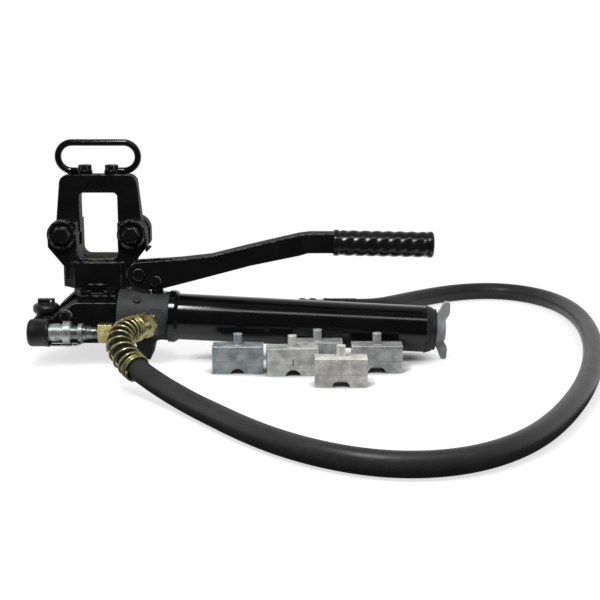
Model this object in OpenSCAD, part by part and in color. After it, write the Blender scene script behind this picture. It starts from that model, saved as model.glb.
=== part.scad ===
// Hand-pumped hydraulic crimping tool with a swing-yoke press head, an inclined
// reservoir tube, a forked pump lever, a pressure hose and a set of loose dies.
// +X runs along the reservoir, -Y faces the viewer, +Z is up, floor at Z = 0.
// The origin is the middle of the foot under the pump collar.

/* [Pump] */
// Height of the pump axis above the floor at the collar
axis_h = 54; // [50:1:58]
// Outside diameter of the pump collar
collar_d = 58; // [57:0.5:62]
// Length of the pump collar
collar_len = 60; // [54:1:70]
// Width of the foot along the tube
foot_w = 20; // [16:1:26]
// Depth of the foot across the tube
foot_depth = 46; // [40:1:60]
// Outside diameter of the reservoir tube
tube_d = 55; // [52:0.5:57]
// Wall of the reservoir tube
tube_wall = 3; // [2:0.25:4]
// Length of the reservoir tube
tube_len = 303; // [240:1:360]
// Length of the clamp ring on the front of the tube
ring_len = 10; // [6:1:16]
// Wall of the clamp ring on the front of the tube
ring_wall = 3.5; // [2:0.25:4]
// Thickness of the rear cap
cap_t = 12; // [8:1:18]
// Diameter of the tie rod through the reservoir
rod_d = 10; // [8:0.5:12]
// Length of the wing nut hub
hub_len = 11.5; // [9:0.5:16]
// Diameter of the wing nut hub
hub_d = 30; // [26:1:36]
// Reach of each wing from the nut's axis
wing_r = 34.5; // [30:0.5:36]

/* [Base block] */
// Height of the underside of the valve block
block_z0 = 24; // [20:1:28]
// Height of the seat for the press head
seat_z = 72; // [68:1:76]
// Height of the seat for the release knob
knob_seat_z = 52; // [46:1:56]
// Left end of the valve block
block_left = 130; // [126:1:140]
// Distance of the block's front face in front of the pump axis
block_front = 20; // [16:1:21]
// Diameter of the release knob
knob_d = 31; // [24:1:34]
// Distance of the release knob's axis left of the foot
knob_x = 117; // [114:1:119]

/* [Press head] */
// Distance of the head's axis left of the foot
head_x = 57; // [55:1:59]
// Distance of the head's axis behind the pump axis
head_y = 46; // [46:1:52]
// Diameter of the neck
neck_d = 68; // [64:1:72]
// Height of the neck
neck_h = 11; // [8:1:16]
// Width of the cylinder body
body_w = 86; // [80:1:90]
// Depth of the cylinder body
body_depth = 64; // [60:1:66]
// Height of the cylinder body
body_h = 31; // [28:1:38]
// Corner chamfer of the cylinder body
body_cut = 15; // [8:1:18]
// Overall thickness of the two ear plates
ear_depth = 54; // [48:1:58]
// Radius of an ear about its pin
ear_r = 17.5; // [17:0.5:19]
// Distance of each yoke pin from the head's axis
pin_x = 41.5; // [40:0.5:44]
// Height of the yoke pins above the floor
pin_z = 147.5; // [144:0.5:152]
// Diameter of the yoke pins
pin_d = 16; // [12:0.5:18]
// Radius of the cup washer on each pin
disc_r = 17; // [14:0.5:17.5]
// Width of the crimping gap between the ears
gap_w = 49; // [46:0.5:50]
// Diameter of the ram
ram_d = 42; // [38:0.5:43]
// Length of the ram
ram_len = 44; // [40:1:45]
// Thickness of the yoke
yoke_t = 18; // [16:0.5:22]
// Width of the window in the yoke
window_w = 45.5; // [40:0.5:46]
// Height of the window's top edge
window_z = 195; // [190:1:200]
// Height of the yoke's top
yoke_z = 216.5; // [213:0.5:224]
// Half width of the yoke at its shoulder
yoke_half = 46.5; // [43:0.5:49]
// Diameter of a die's locating pin
die_pin_d = 10; // [8:0.5:12]
// Diameter of the carry ring's rod
ring_rod_d = 8; // [6:0.5:9]
// Bend radius at the ends of the carry ring
ring_bend = 16.8; // [14:0.1:20]
// Half length of the carry ring's straight runs
ring_half = 31; // [29:0.5:36]

/* [Lever] */
// Distance of the fulcrum pin left of the foot
fulcrum_x = 4; // [3:0.5:6]
// Height of the fulcrum pin above the pump axis
fulcrum_rise = 51; // [48:0.5:54]
// Distance of the plunger pin right of the fulcrum pin
link_dx = 20; // [19:0.5:23]
// Drop of the plunger pin below the fulcrum pin
link_dz = 8; // [6:0.5:9]
// Diameter of the lever pins
lever_pin_d = 9; // [7:0.5:10]
// Width of the lug between the lever's cheeks
lug_w = 14; // [12:0.5:16]
// Thickness of each lever cheek
cheek_t = 5; // [4:0.5:6]
// Diameter of the plunger
plunger_d = 14; // [11:0.5:15]
// Diameter of the lever's rod inside the grip
lever_rod_d = 22; // [18:0.5:24]
// Diameter of the grip
grip_d = 31; // [28:0.5:36]
// Length of the grip
grip_len = 116; // [100:1:130]

/* [Hose and couplings] */
// Outside diameter of the hose
hose_d = 24; // [20:0.5:25]
// Wire diameter of the hose's spring guard
guard_wire = 3; // [2:0.1:3.2]
// Number of curls in the spring guard
guard_curls = 13; // [9:1:14]
// Width across flats of the hose swivel nut
swivel_af = 26; // [23:0.5:27]
// Distance of the front coupler's axis in front of the pump axis
coupler_y = 38; // [38:0.5:40]
// Height of the front coupler's axis
coupler_z = 41; // [40:0.5:43]
// Diameter of the dust cap
dust_d = 33; // [30:0.5:33]
// Width across flats of the brass adaptor
adaptor_af = 21; // [18:0.5:22]
// Diameter of the hose's free coupler
free_d = 26; // [25:0.5:28]

/* [Dies] */
// Width of a die
die_w = 58; // [50:0.5:58]
// Height of a die
die_h = 32; // [28:0.5:36]
// Depth of a die
die_t = 24; // [20:0.5:24]
// Radius of the smallest half-round groove
groove_r = 8.5; // [7:0.25:9]
// Growth of the groove radius from die to die
groove_step = 0.6; // [0.25:0.05:0.8]

/* [Fits] */
// Radial clearance of running fits
run_fit = 0.05; // [0.02:0.01:0.08]
// Gap between neighbouring pieces that do not touch
gap = 0.4; // [0.3:0.05:0.6]

/* [Hidden] */
fulcrum_z = axis_h + fulcrum_rise;
$fn = 64;

// Colours of the finishes
paint_black = [0.07, 0.07, 0.075];
gloss_black = [0.03, 0.03, 0.035];
grey_cast = [0.33, 0.34, 0.35];
wing_grey = [0.62, 0.63, 0.62];
zinc = [0.75, 0.76, 0.78];
brass = [0.82, 0.72, 0.38];
olive_zinc = [0.55, 0.52, 0.36];
rubber = [0.1, 0.1, 0.1];
oil_steel = [0.5, 0.51, 0.53];

// Pump frame: the tail stands on the tip of the lower wing
tail_gap = 0.6;
tail_x = collar_len / 2 + tube_len + cap_t + 12;
pump_tilt = asin((axis_h - wing_r - tail_gap) / tail_x);
tube_x0 = collar_len / 2 + 1;
tube_x1 = tube_x0 + tube_len;
tube_bore = tube_d - 2 * tube_wall;
spigot_len = 14;
seal_wire = 3;

// Head frame
body_z0 = seat_z + neck_h;
body_z1 = body_z0 + body_h;
gap_z = body_z1 + 3;
ram_z0 = gap_z - ram_len;
leg_r = ear_r - 2;
slot_z = pin_z - leg_r - 1;
ear_front = head_y - ear_depth / 2;
disc_t = 6;
pin_hex_h = 8;
pin_hex_af = 17;

// Lever frame
link_x = link_dx - fulcrum_x;
link_z = fulcrum_z - link_dz;
cheek_in = lug_w / 2 + gap;
cheek_out = cheek_in + cheek_t;
eye_half = 7.5;
slot_ahead = 0.75;
slot_side = 0.5;
slot_high = 0.35;
gland_d = plunger_d + 8;
gland_top = axis_h + collar_d / 2 - 2;

// Hose port: the boss faces the viewer and a little to the left
port_turn = 30;
port = [9, -collar_d / 2 - 8, 51];
port_dir = [-sin(port_turn), -cos(port_turn), 0];
boss_d = 31;
washer_t = 2;
nut_len = 11;
ferrule_len = 10;
ferrule_d = hose_d + 1.5;
// Slip between a hose end and the face of its ferrule
hose_seat = 0.1;
hose_start = port + (washer_t + nut_len + ferrule_len + hose_seat) * port_dir;

// Free end of the hose, lying behind the reservoir
free_len = 40;
free_body = 44;
free_z = free_d / 2 + 1.2;
free_end = [262, 222, free_z];
rest_z = hose_d / 2 + 0.3;

// Hose route: leaves the ferrule, drops to the floor, loops to the right and back.
// The curve starts and ends on the first and last points and is drawn by the rest.
route = concat(
  [hose_start, hose_start + 18 * port_dir],
  [[-15.5, -95, 50], [-13, -119, 43.5], [-1, -141, 34], [19, -162, 25], [44, -188, 17],
   [74, -227, 12.8], [106, -272, rest_z], [144, -326, rest_z], [196, -378, rest_z],
   [262, -412, rest_z], [334, -402, rest_z], [398, -346, rest_z], [448, -260, rest_z],
   [496, -148, rest_z], [534, -20, rest_z], [556, 106, rest_z], [560, 216, rest_z],
   [538, 302, rest_z], [484, 350, rest_z], [418, 340, rest_z], [360, 296, rest_z],
   [316, 250, 13.2]],
  [free_end + [26, 0, 0], free_end]
);

// Smooth curve drawn by four neighbouring points, at share t between the middle two
function curve(a, b, c, d, t) =
  (pow(1 - t, 3) * a + (3 * pow(t, 3) - 6 * t * t + 4) * b
   + (-3 * pow(t, 3) + 3 * t * t + 3 * t + 1) * c + pow(t, 3) * d) / 6;
// Point i of a list, carried on in a straight line past either end
function pick(p, i) =
  i < 0 ? p[0] + i * (p[1] - p[0])
  : i > len(p) - 1 ? p[len(p) - 1] + (i - len(p) + 1) * (p[len(p) - 1] - p[len(p) - 2])
  : p[i];
// Point on the route at run u, where whole numbers belong to the chosen points
function route_at(p, u) =
  let (i = min(floor(u), len(p) - 2))
  curve(pick(p, i - 1), pick(p, i), pick(p, i + 1), pick(p, i + 2), u - i);
function unit(v) = v / norm(v);
function heading(p, u) =
  let (h = 0.02, a = u - h, b = u + h)
  unit(route_at(p, b) - route_at(p, a));
// Level direction across the heading, and the one square to both
function across(t) = unit(cross(t, [0, 0, 1]));
function above(t) = cross(across(t), t);

// Skin of a tube through a list of rings
function tube_faces(rings, sides) = concat(
  [for (i = [0 : rings - 2], k = [0 : sides - 1])
    [i * sides + k, (i + 1) * sides + k, i * sides + (k + 1) % sides]],
  [for (i = [0 : rings - 2], k = [0 : sides - 1])
    [i * sides + (k + 1) % sides, (i + 1) * sides + k, (i + 1) * sides + (k + 1) % sides]],
  [for (k = [1 : sides - 2]) [0, k, k + 1]],
  [for (k = [1 : sides - 2])
    [(rings - 1) * sides, (rings - 1) * sides + k + 1, (rings - 1) * sides + k]]
);

// Straight bars along X and Y, a plate across Y and a block with set corners
module bar_x(x0, x1, d) {
  translate([x0, 0, 0]) rotate([0, 90, 0]) cylinder(d = d, h = x1 - x0);
}
module bar_y(y0, y1, d) {
  translate([0, y0, 0]) rotate([-90, 0, 0]) cylinder(d = d, h = y1 - y0);
}
module plate_y(y0, y1) {
  translate([0, y1, 0]) rotate([90, 0, 0]) linear_extrude(y1 - y0) children();
}
module hex_bar(af, h) {
  cylinder(d = af / cos(30), h = h, $fn = 6);
}
module round_rect(w, h, r) {
  square([w - 2 * r, h], center = true);
  square([w, h - 2 * r], center = true);
  for (sx = [-1, 1], sy = [-1, 1])
    translate([sx * (w / 2 - r), sy * (h / 2 - r)]) circle(r);
}
module pump_frame() {
  translate([0, 0, axis_h]) rotate([0, pump_tilt, 0]) children();
}
module head_frame() {
  translate([-head_x, head_y, 0]) children();
}
// Frame whose Z axis leaves the hose port
module port_frame() {
  translate(port) rotate([90, 0, -port_turn]) children();
}

// Cast base: valve block in front, pedestal of the press head behind
shoulder_x = 78;
pedestal_left = 112;
leg_left = head_x - 4;
pedestal_right = head_x - neck_d / 2;
pedestal_y = collar_d / 2 + 4;
gallery_x = 90;
gallery_z = block_z0 + 33;
seat_bolt_d = 8;
seat_bolt_x = 15;
seat_bolt_y = neck_d / 2 + 6.5;
flange_t = 5;
flange_w = 46;
flange_depth = 2 * (seat_bolt_y + 6.5);
gland_bore = 12;
module seat_bolt_places() {
  head_frame() for (sx = [-1, 1], sy = [-1, 1])
    translate([sx * seat_bolt_x, sy * seat_bolt_y, 0]) children();
}
module block_profile() {
  polygon([
    [0, block_z0], [0, seat_z], [-shoulder_x, seat_z], [-shoulder_x - 24, knob_seat_z + 5],
    [-shoulder_x - 30, knob_seat_z], [-block_left, knob_seat_z],
    [-block_left, block_z0 + 6], [-block_left + 6, block_z0]
  ]);
}
module pedestal_profile() {
  polygon([
    [-pedestal_right, 0], [-pedestal_right, seat_z], [-head_x - neck_d / 2, seat_z],
    [-pedestal_left, knob_seat_z + 2], [-pedestal_left, block_z0],
    [-leg_left - 6, block_z0], [-leg_left, block_z0 - 6], [-leg_left, 0]
  ]);
}
module pump_block() {
  color(paint_black) difference() {
    union() {
      difference() {
        plate_y(-block_front, pedestal_y) block_profile();
        pump_frame() translate([-collar_len / 2, -100, -100]) cube(200);
      }
      plate_y(pedestal_y, head_y + flange_depth / 2) pedestal_profile();
      translate([-knob_x, 0, knob_seat_z - 1]) cylinder(d = 24, h = 1 + 2);
      translate([-gallery_x, -block_front + 1, gallery_z]) bar_y(-2, 2, 14);
    }
    // Bore of the release gland and spindle
    translate([-knob_x, 0, block_z0 + 10]) cylinder(d = gland_bore + 2 * run_fit, h = 60);
    // Gallery plug and its bore in the front face
    translate([-gallery_x, -block_front - 2, gallery_z]) bar_y(-1, 16, 8 + 2 * run_fit);
    // Holes of the head's seat bolts
    seat_bolt_places() translate([0, 0, seat_z - 18])
      cylinder(d = seat_bolt_d + 2 * run_fit, h = 30);
  }
}

// Pump collar with its foot, lever lug, hose boss and coupler lug
lug_r = 10;
coupler_lug = 27;
lug_t = 9;
// The tie rod screws in behind the plunger bore
stud_x0 = link_x + plunger_d / 2 + 3;
adaptor_d = 14;
// The suction filter lies between the tie rod and the tube's wall
filter_gap = 2.25;
filter_d = (tube_bore - rod_d) / 2 - 2 * filter_gap;
filter_bore = filter_d * 2 / 3;
filter_z = filter_d / 2 + filter_gap - tube_bore / 2;
foot_front = 5;
flare_r = 8;
module pump_collar() {
  color(grey_cast) difference() {
    union() {
      pump_frame() {
        bar_x(-collar_len / 2, collar_len / 2, collar_d);
        bar_x(collar_len / 2, collar_len / 2 + spigot_len, tube_bore - 2 * gap);
      }
      // Foot that flares into the collar, standing mostly behind the pump axis
      plate_y(-foot_front, foot_depth - foot_front) polygon(concat(
        [[-foot_w / 2, 0], [foot_w / 2 - 4, 0]],
        [for (a = [0 : 15 : 90])
          [foot_w / 2 + flare_r * (1 - cos(a)), axis_h - collar_d / 2 - 4 - flare_r * (1 - sin(a)) + 3]],
        [[foot_w / 2 + flare_r, axis_h - 10], [-foot_w / 2 - flare_r, axis_h - 10]],
        [for (a = [90 : -15 : 0])
          [-foot_w / 2 - flare_r * (1 - cos(a)), axis_h - collar_d / 2 - 4 - flare_r * (1 - sin(a)) + 3]]
      ));
      // Lug of the lever's fulcrum
      translate([-fulcrum_x, 0, fulcrum_z]) bar_y(-lug_w / 2, lug_w / 2, 2 * lug_r);
      translate([-fulcrum_x - lug_r, -lug_w / 2, axis_h])
        cube([2 * lug_r, lug_w, fulcrum_z - axis_h]);
      // Boss of the hose port
      difference() {
        port_frame() translate([0, 0, -24]) cylinder(d = boss_d, h = 24);
        pump_frame() translate([collar_len / 2 - 1, -100, -100]) cube(200);
      }
      // Lug of the front coupler
      translate([-collar_len / 2 + 1, -coupler_y, coupler_z]) bar_x(0, lug_t, coupler_lug);
      translate([-collar_len / 2 + 1, -coupler_y, coupler_z - coupler_lug / 2])
        cube([lug_t, coupler_y - 10, coupler_lug]);
    }
    // Plunger bore and gland seat
    translate([link_x, 0, axis_h - 8]) cylinder(d = plunger_d + 2 * run_fit, h = 60);
    translate([link_x, 0, gland_top - 16]) cylinder(d = gland_d + 2 * run_fit, h = 60);
    // Fulcrum pin bore
    translate([-fulcrum_x, 0, fulcrum_z]) bar_y(-40, 40, lever_pin_d + 2 * run_fit);
    // Tie rod, suction bore
    pump_frame() bar_x(stud_x0 - 1, 100, rod_d + 2 * run_fit);
    pump_frame() translate([0, 0, filter_z]) bar_x(8, 100, filter_bore + 2 * run_fit);
    // Hose port and coupler bore
    port_frame() translate([0, 0, -20]) cylinder(d = adaptor_d + 2 * run_fit, h = 30);
    translate([-collar_len / 2, -coupler_y, coupler_z])
      bar_x(-5, 9, adaptor_d + 2 * run_fit);
    // Bleed screw
    translate([-6, 0, axis_h]) rotate([42, 0, 0])
      translate([0, 0, collar_d / 2 - 8]) cylinder(d = 6 + 2 * run_fit, h = 20);
    // Seal groove of the spigot
    pump_frame() seal_cut(collar_len / 2 + spigot_len / 2);
  }
}
// Groove that holds a tube seal, and the seal itself
module seal_cut(x) {
  difference() {
    bar_x(x - seal_wire / 2, x + seal_wire / 2, tube_bore + 2);
    bar_x(x - seal_wire, x + seal_wire, tube_bore - 2 * seal_wire);
  }
}
module seal_ring(x) {
  translate([x, 0, 0]) rotate([0, 90, 0])
    rotate_extrude() translate([tube_bore / 2 - seal_wire / 2 - run_fit, 0])
      square([seal_wire - 2 * run_fit, seal_wire - 2 * run_fit], center = true);
}
module front_seal() {
  color(rubber) pump_frame() seal_ring(collar_len / 2 + spigot_len / 2);
}
module rear_seal() {
  color(rubber) pump_frame() seal_ring(tube_x1 - spigot_len / 2);
}

// Reservoir: tube, clamp ring, rear cap, tie rod and wing nut
module reservoir_tube() {
  color(gloss_black) pump_frame() difference() {
    bar_x(tube_x0, tube_x1, tube_d);
    bar_x(tube_x0 - 1, tube_x1 + 1, tube_bore);
  }
}
module clamp_ring() {
  color(gloss_black) pump_frame() difference() {
    union() {
      bar_x(tube_x0 - 1, tube_x0 + ring_len - 4, tube_d + 2 * ring_wall);
      // The ring's right rim tapers to the tube
      translate([tube_x0 + ring_len - 4, 0, 0]) rotate([0, 90, 0])
        cylinder(d1 = tube_d + 2 * ring_wall, d2 = tube_d + 2, h = 4);
    }
    bar_x(tube_x0 - 2, tube_x0 + ring_len + 1, tube_d + 2 * run_fit);
  }
}
module rear_cap() {
  color(grey_cast) pump_frame() difference() {
    union() {
      bar_x(tube_x1 - spigot_len, tube_x1, tube_bore - 2 * gap);
      translate([tube_x1, 0, 0]) rotate([0, 90, 0])
        cylinder(d1 = tube_d + 2, d2 = tube_d - 3, h = cap_t - 4);
      bar_x(tube_x1, tube_x1 + cap_t, tube_d - 6);
    }
    bar_x(tube_x1 - 50, tube_x1 + 50, rod_d + 2 * run_fit);
    seal_cut(tube_x1 - spigot_len / 2);
  }
}
rod_x1 = tube_x1 + cap_t + hub_len - 3;
module tie_rod() {
  color(oil_steel) pump_frame() bar_x(stud_x0, rod_x1, rod_d);
}
wing_t = 9;
module wing_profile() {
  // One wing: a tapered arm that sweeps away from the cap to its blunt tip
  polygon([[1, 8], [0.5, hub_d / 2 + 3], [4.5, wing_r - 10], [8.5, wing_r - 1], [10, wing_r],
           [14, wing_r], [15.3, wing_r - 2], [15.8, wing_r - 12], [14.5, wing_r - 16],
           [11, hub_d / 2 - 2], [9, 8]]);
}
module wing_nut() {
  hub_x = tube_x1 + cap_t + gap;
  color(wing_grey) pump_frame() difference() {
    union() {
      translate([hub_x, 0, 0]) rotate([0, 90, 0])
        cylinder(d1 = hub_d + 9, d2 = hub_d - 4, h = hub_len);
      for (s = [0, 180]) translate([hub_x, 0, 0]) rotate([s, 0, 0])
        plate_y(-wing_t / 2, wing_t / 2) wing_profile();
    }
    bar_x(hub_x - 1, rod_x1 + gap, rod_d + 2 * run_fit);
  }
}
module suction_filter() {
  color(brass) pump_frame() translate([0, 0, filter_z]) difference() {
    union() {
      bar_x(24, collar_len / 2 + spigot_len, filter_bore);
      bar_x(collar_len / 2 + spigot_len, collar_len / 2 + spigot_len + 34, filter_d);
    }
    bar_x(20, collar_len / 2 + spigot_len + 30, filter_bore / 2);
  }
}
module check_ball() {
  color(oil_steel) pump_frame() translate([18, 0, filter_z]) sphere(d = filter_bore - 1);
}

// Press head: cylinder body with its neck and the two ear plates
module ear_profile() {
  // Ears slope in below the pins and run down to the cylinder body
  for (s = [-1, 1]) {
    translate([s * pin_x, pin_z]) circle(ear_r);
    polygon([[0, body_z0 + 10], [s * (body_w / 2 - 4), body_z0 + 10],
             [s * (body_w / 2 - 4), body_z1 - 7], [s * (pin_x + ear_r), pin_z - ear_r + 2],
             [s * (pin_x + ear_r), pin_z], [s * pin_x, pin_z + ear_r],
             [s * (gap_w / 2), pin_z + ear_r - 4], [0, gap_z]]);
  }
}
gap_r = 9;
module gap_profile() {
  translate([0, gap_z + 50]) round_rect(gap_w, 100, gap_r);
}
module body_profile() {
  a = body_w / 2;
  b = body_depth / 2;
  polygon([[-a, -b + body_cut], [-a + body_cut, -b], [a - body_cut, -b], [a, -b + body_cut],
           [a, b - body_cut], [a - body_cut, b], [-a + body_cut, b], [-a, b - body_cut]]);
}
module press_body() {
  color(paint_black) head_frame() difference() {
    union() {
      translate([0, 0, seat_z]) cylinder(d = neck_d, h = neck_h + 5);
      translate([-flange_w / 2, -flange_depth / 2, seat_z])
        cube([flange_w, flange_depth, flange_t]);
      translate([0, 0, body_z0]) linear_extrude(body_h) body_profile();
      plate_y(-ear_depth / 2, ear_depth / 2) ear_profile();
    }
    plate_y(-body_depth, body_depth) gap_profile();
    // Slot for the yoke's legs
    translate([-100, -yoke_t / 2 - gap, slot_z]) cube([200, yoke_t + 2 * gap, 100]);
    // Yoke pin bores
    for (s = [-1, 1]) translate([s * pin_x, 0, pin_z])
      bar_y(-100, 100, pin_d + 2 * run_fit);
    // Holes of the seat bolts
    for (sx = [-1, 1], sy = [-1, 1])
      translate([sx * seat_bolt_x, sy * seat_bolt_y, seat_z - 1])
        cylinder(d = seat_bolt_d + 2 * run_fit, h = flange_t + 2);
    // Ram bore
    translate([0, 0, ram_z0 - 2]) cylinder(d = ram_d + 2 * run_fit, h = 100);
    // Lock screw beside the right pin
    translate([pin_x, 8 - ear_depth / 2, pin_z]) rotate([0, 135, 0])
      translate([0, 0, pin_d / 2 + 2]) cylinder(d = 6 + 2 * run_fit, h = 40);
  }
}
// The screw head seats on the corner of the ear
lock_r = (ear_r * 2 - 1) * cos(45) + gap;
module pin_lock_screw() {
  color(zinc) head_frame() translate([pin_x, 8 - ear_depth / 2, pin_z]) rotate([0, 135, 0]) {
    translate([0, 0, pin_d / 2 + 3]) cylinder(d = 6, h = lock_r - pin_d / 2 - 3);
    translate([0, 0, lock_r]) hex_bar(8, 3);
  }
}
// Yoke: tapered shoulders, round-ended legs and a rounded window
window_r = 5;
shoulder_r = 11;
// Right half of the outline: round shoulder, slope and round leg end
yoke_side = concat(
  [for (a = [90 : -10 : 0])
    [yoke_half - shoulder_r + shoulder_r * cos(a), yoke_z - shoulder_r + shoulder_r * sin(a)]],
  [[pin_x + leg_r - 6, pin_z + leg_r]],
  [for (a = [40 : -10 : -180]) [pin_x + leg_r * cos(a), pin_z + leg_r * sin(a)]]
);
module yoke_profile() {
  last = len(yoke_side) - 1;
  difference() {
    polygon(concat(yoke_side, [for (i = [last : -1 : 0]) [-yoke_side[i][0], yoke_side[i][1]]]));
    translate([0, window_z - 100]) round_rect(window_w, 200, window_r);
  }
}
bolt_x = 16;
ring_bolt_d = 8;
ring_bolt_af = 14;
module yoke() {
  color(paint_black) head_frame() difference() {
    plate_y(-yoke_t / 2, yoke_t / 2) yoke_profile();
    for (s = [-1, 1]) {
      translate([s * pin_x, 0, pin_z]) bar_y(-100, 100, pin_d + 2 * run_fit);
      translate([s * bolt_x, 0, yoke_z - 16])
        cylinder(d = ring_bolt_d + 2 * run_fit, h = 30);
    }
    // Socket of the upper die's pin
    translate([0, 0, window_z - 20]) cylinder(d = die_pin_d + 2 * gap, h = 20 + 15);
  }
}
// Yoke pin with a cup washer and a hex head, pulled out towards the viewer
module yoke_pin(side) {
  color(paint_black) head_frame() translate([side * pin_x, 0, pin_z]) {
    bar_y(-ear_depth / 2, ear_depth / 2 + 4, pin_d);
    difference() {
      bar_y(-ear_depth / 2 - disc_t, -ear_depth / 2, 2 * disc_r);
      bar_y(-ear_depth / 2 - disc_t - 1, -ear_depth / 2 - disc_t + 2, 2 * disc_r - 4);
    }
    translate([0, -ear_depth / 2 - disc_t - pin_hex_h + 2, 0]) rotate([-90, 0, 0])
      hex_bar(pin_hex_af, pin_hex_h);
  }
}
module left_pin() { yoke_pin(-1); }
module right_pin() { yoke_pin(1); }

// Carry ring: an open oval of round rod with flat feet under two bolts
foot_pad_t = 5;
bolt_head_h = 6;
ring_z = yoke_z + ring_rod_d / 2;
pad_w = 18;
module carry_ring() {
  color(paint_black) head_frame() difference() {
    union() {
      translate([0, 0, ring_z + 2 * ring_bend]) bar_x(-ring_half, ring_half, ring_rod_d);
      for (s = [0, 180]) rotate([0, 0, s]) {
        translate([ring_half, 0, ring_z + ring_bend]) rotate([90, 0, 0])
          rotate([0, 0, -90]) rotate_extrude(angle = 180)
            translate([ring_bend, 0]) circle(d = ring_rod_d);
        translate([0, 0, ring_z]) bar_x(bolt_x + 4, ring_half, ring_rod_d);
        translate([bolt_x, 0, yoke_z]) cylinder(d = pad_w, h = foot_pad_t);
      }
    }
    for (s = [-1, 1]) translate([s * bolt_x, 0, yoke_z - 1])
      cylinder(d = ring_bolt_d + 2 * run_fit, h = foot_pad_t + 2);
    for (s = [-1, 1]) translate([s * bolt_x, 0, yoke_z + foot_pad_t])
      cylinder(d = ring_bolt_af / cos(30) + 1, h = bolt_head_h + 2);
  }
}
module ring_bolts() {
  color(paint_black) head_frame() for (s = [-1, 1]) translate([s * bolt_x, 0, 0]) {
    translate([0, 0, yoke_z - 14]) cylinder(d = ring_bolt_d, h = 14 + foot_pad_t);
    translate([0, 0, yoke_z + foot_pad_t]) hex_bar(ring_bolt_af, bolt_head_h);
  }
}
// Ram with its die socket, and the seal in the ram's groove
seal_z = ram_z0 + 5;
seal_h = 4;
seal_in = 4;
module ram() {
  color(olive_zinc) head_frame() difference() {
    translate([0, 0, ram_z0]) cylinder(d = ram_d, h = ram_len);
    translate([0, 0, gap_z - 18]) cylinder(d = die_pin_d + 2 * gap, h = 40);
    translate([0, 0, seal_z]) difference() {
      cylinder(d = ram_d + 2, h = seal_h);
      cylinder(d = ram_d - 2 * seal_in, h = seal_h);
    }
  }
}
module ram_seal() {
  color(rubber) head_frame() translate([0, 0, seal_z + run_fit]) difference() {
    cylinder(d = ram_d, h = seal_h - 2 * run_fit);
    translate([0, 0, -1]) cylinder(d = ram_d - 2 * seal_in + 2 * run_fit, h = seal_h + 2);
  }
}
module seat_bolts() {
  color(paint_black) seat_bolt_places() {
    translate([0, 0, seat_z - 16]) cylinder(d = seat_bolt_d, h = 16 + flange_t);
    translate([0, 0, seat_z + flange_t]) hex_bar(13, 5);
  }
}

// Lever: two cheeks from the fulcrum, a web between them and a rod for the grip
rod_x0 = 186;
grip_x0 = 230;
grip_rise = 35.5;
grip_droop = 1.2;
module grip_axis() {
  translate([grip_x0, 0, grip_rise]) rotate([0, grip_droop, 0]) children();
}
module lever_profile() {
  circle(14);
  polygon([[0, 14], [48, 17], [84, 21], [130, 32.5], [rod_x0 + 2, 46], [200, 47.5],
           [grip_x0 - 2, 47.5], [grip_x0 - 2, 25], [198, 25], [rod_x0 + 2, 22], [130, 10],
           [72, -5.5], [30, -16.5], [18, -19], [4, -18], [-9.5, -10.3]]);
}
module lever() {
  color(paint_black) translate([-fulcrum_x, 0, fulcrum_z]) difference() {
    union() {
      for (s = [-1, 1]) plate_y(s > 0 ? cheek_in : -cheek_out, s > 0 ? cheek_out : -cheek_in)
        lever_profile();
      plate_y(-cheek_in - 1, cheek_in + 1) intersection() {
        lever_profile();
        translate([40, -30]) square([200, 100]);
      }
      grip_axis() bar_x(-20, grip_len - 6, lever_rod_d);
    }
    bar_y(-40, 40, lever_pin_d + 2 * run_fit);
    translate([link_dx, 0, -link_dz]) bar_y(-40, 40, lever_pin_d);
  }
}
module lever_grip() {
  color(rubber) translate([-fulcrum_x, 0, fulcrum_z]) grip_axis() difference() {
    union() {
      bar_x(0, grip_len, grip_d);
      bar_x(0, 4, grip_d + 2);
      bar_x(grip_len - 4, grip_len, grip_d + 2);
    }
    bar_x(-1, grip_len - 6, lever_rod_d + 2 * run_fit);
  }
}
module fulcrum_pin() {
  color(oil_steel) translate([-fulcrum_x, 0, fulcrum_z]) {
    bar_y(-cheek_out - gap, cheek_out + gap, lever_pin_d);
    bar_y(-cheek_out - gap - 3, -cheek_out - gap, lever_pin_d + 5);
    bar_y(cheek_out + gap, cheek_out + gap + 2, lever_pin_d + 4);
  }
}
module link_pin() {
  color(oil_steel) translate([link_x, 0, link_z]) {
    bar_y(-cheek_out, cheek_out, lever_pin_d);
    bar_y(-cheek_out - 4, -cheek_out, lever_pin_d + 4);
    bar_y(cheek_out, cheek_out + 2, lever_pin_d + 4);
  }
}
module plunger() {
  color(oil_steel) difference() {
    union() {
      translate([link_x, 0, axis_h + 4]) cylinder(d = plunger_d, h = link_z - axis_h - 8);
      translate([link_x - eye_half, -lug_w / 2 + 0.5, link_z - 8])
        cube([2 * eye_half + slot_ahead, lug_w - 1, 17]);
    }
    // Slot that lets the lever's arc pass
    plate_y(-40, 40) translate([link_x + slot_ahead, link_z]) {
      square([2 * (slot_ahead + slot_side), lever_pin_d + 2 * slot_high], center = true);
      for (s = [-1, 1]) translate([s * (slot_ahead + slot_side), 0])
        circle(d = lever_pin_d + 2 * slot_high);
    }
  }
}
module plunger_gland() {
  color(oil_steel) translate([link_x, 0, gland_top - 16]) difference() {
    cylinder(d = gland_d, h = 16);
    translate([0, 0, -1]) cylinder(d = plunger_d + 2 * run_fit, h = 20);
  }
}

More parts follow.
